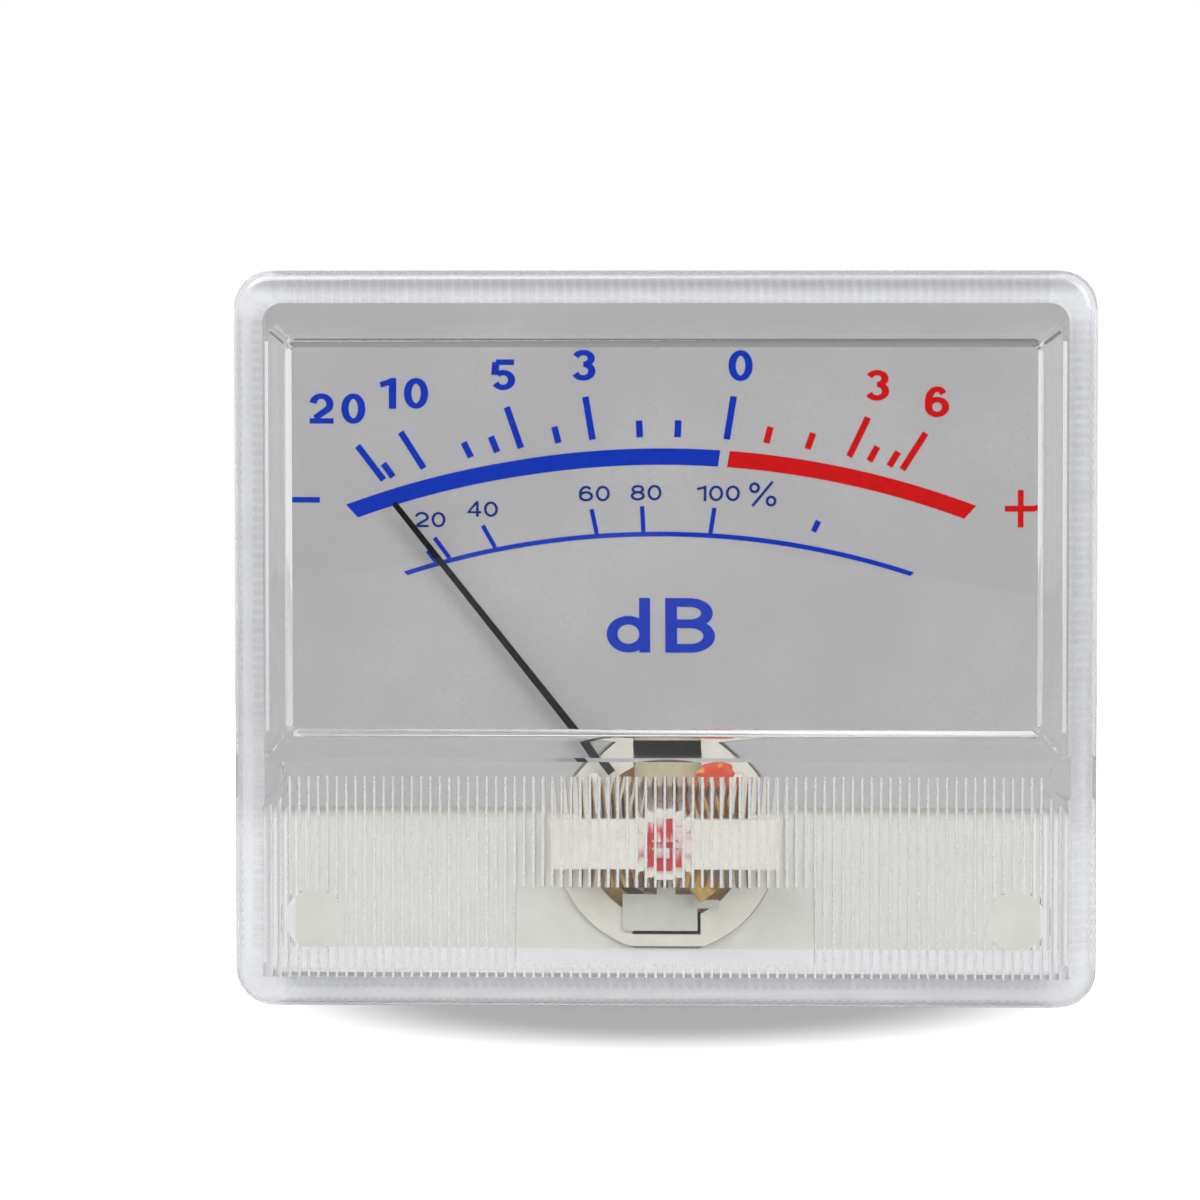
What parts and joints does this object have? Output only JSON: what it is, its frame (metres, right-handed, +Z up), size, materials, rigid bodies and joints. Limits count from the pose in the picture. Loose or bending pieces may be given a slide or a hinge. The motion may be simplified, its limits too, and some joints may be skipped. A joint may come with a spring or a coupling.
{
  "type": "analog vu meter",
  "caption": "Panel meter with a clear fluted cover, printed scale and a moving-coil movement whose pointer swings over the dial; zero adjuster and solder pins at the rear.",
  "frame": {"origin": "middle of the panel cut-out, in the plane of the panel's front face, which the case's flange seats on", "axes": "+Y out of the back of the meter, -Y towards the reader, +X to the reader's right, +Z up"},
  "size_m": [0.055, 0.027, 0.047],
  "materials": {
    "clear_plastic": "clear polished polystyrene, fluted inside",
    "white_plastic": "white ABS, fine moulded texture",
    "dial_paint": "satin silver-grey paint on aluminium",
    "cream_plastic": "cream moulded plastic",
    "yellow_zinc": "yellow-passivated zinc on steel",
    "black_plastic": "black moulded plastic",
    "magnet": "ground sintered magnet",
    "brass": "turned brass",
    "steel": "bright steel",
    "red_lacquer": "red locking lacquer",
    "jewel": "synthetic jewel",
    "bronze": "phosphor bronze strip",
    "tinned_metal": "bright tinned metal",
    "black_paint": "matt black paint on aluminium",
    "aluminium": "bare aluminium foil",
    "copper_wire": "enamelled copper wire",
    "circuit_board": "white solder mask",
    "lamp_body": "white lamp body with a yellow lens"
  },
  "bodies": {
    "case": {"front_cover": "clear_plastic", "rear_case": "white_plastic", "dial_support": "white_plastic", "dial_plate": "dial_paint", "frame_front": "cream_plastic", "frame_rear": "cream_plastic", "movement_screws": "steel", "yoke_ring": "yellow_zinc", "core_magnet": "magnet", "core_clamps": "yellow_zinc", "clamp_caps": "black_plastic", "front_jewel_screw": "brass", "lock_lacquer": "red_lacquer", "front_jewel": "jewel", "rear_jewel_screw": "brass", "rear_jewel": "jewel", "spring_tab": "tinned_metal", "front_hairspring": "bronze", "rear_hairspring": "bronze", "signal_pins": "tinned_metal", "lamp_pins": "tinned_metal", "lamp_board": "circuit_board", "lamps": "lamp_body"},
    "moving_coil": {"pointer": "black_paint", "balance_weights": "brass", "front_hub": "brass", "rear_hub": "brass", "front_pivot": "steel", "rear_pivot": "steel", "coil_former": "aluminium", "coil_winding": "copper_wire"},
    "zero_lever": {"zero_lever": "tinned_metal"},
    "zero_screw": {"zero_screw": "brass"}
  },
  "joints": [
    {"name": "pointer_swing", "type": "hinge", "parent": "case", "child": "moving_coil", "pos_m": [0, 0, -0.0132], "axis": [0, 1, 0], "range_deg": [-4.5, 81.5], "stiffness_Nm_per_rad": 0.00002, "deforming": ["front_hairspring", "rear_hairspring"]},
    {"name": "zero_screw_turn", "type": "hinge", "parent": "case", "child": "zero_screw", "pos_m": [0, 0, -0.0072], "axis": [0, 1, 0], "range_deg": [-45, 45]},
    {"name": "zero_lever_turn", "type": "hinge", "parent": "case", "child": "zero_lever", "pos_m": [0, 0, -0.0132], "axis": [0, 1, 0], "range_deg": [-4.2, 4.2]}
  ],
  "couplings": [
    {"joint": "zero_lever_turn", "follows": "zero_screw_turn", "ratio": 0.0875}
  ]
}
